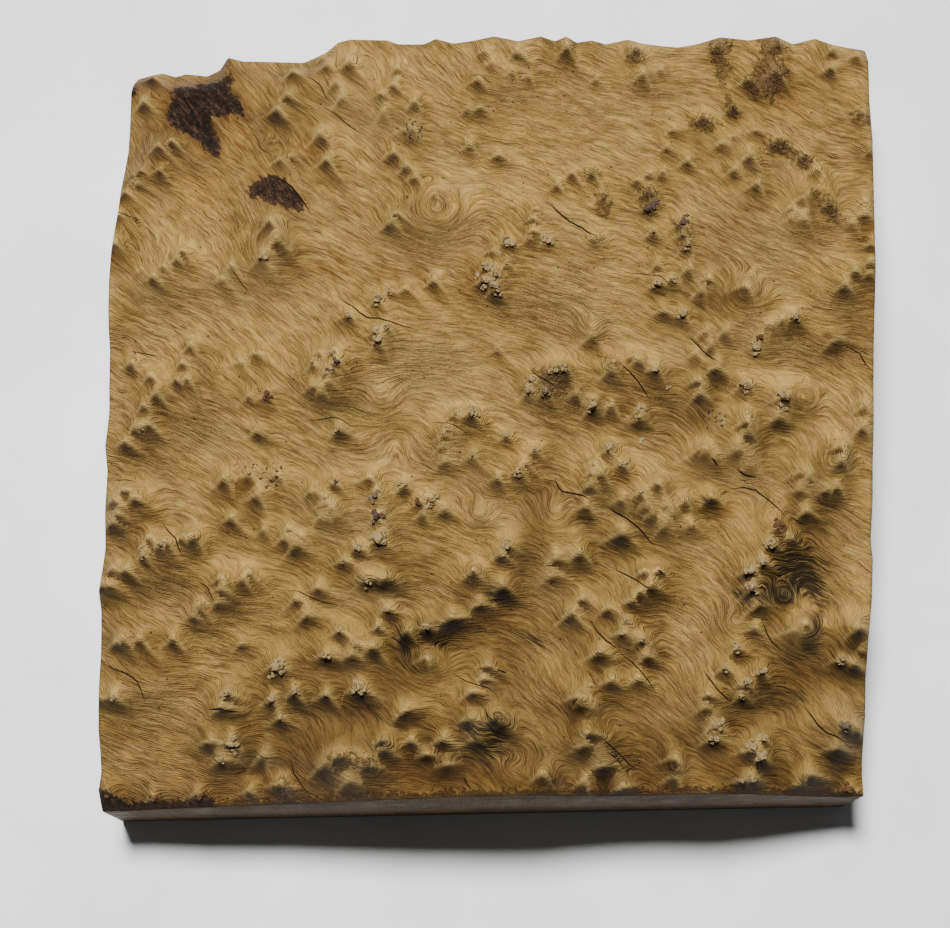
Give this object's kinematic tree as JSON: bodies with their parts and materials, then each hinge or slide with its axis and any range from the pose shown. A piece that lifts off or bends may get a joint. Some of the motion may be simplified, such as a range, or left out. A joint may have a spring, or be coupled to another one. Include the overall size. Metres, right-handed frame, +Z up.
{
  "type": "burl bowl blank",
  "caption": "Roughly square slab sawn from a mallee burl, knobbly natural skin on its upper face and a flat sawn base, to be turned into a bowl.",
  "frame": {"origin": "centre of the bounding rectangle of the sawn base, on the base plane", "axes": "+Z up through the slab's thickness, out of the knobbly face; +Y towards the far saw cut and +X towards the right-hand saw cut as the picture shows them"},
  "size_m": [0.204, 0.2074, 0.062],
  "materials": {
    "burl_wood": "natural barkless burl skin on top, waxed saw-cut wood on the sides and base"
  },
  "bodies": {
    "root": {"burl_blank": "burl_wood"}
  },
  "joints": []
}
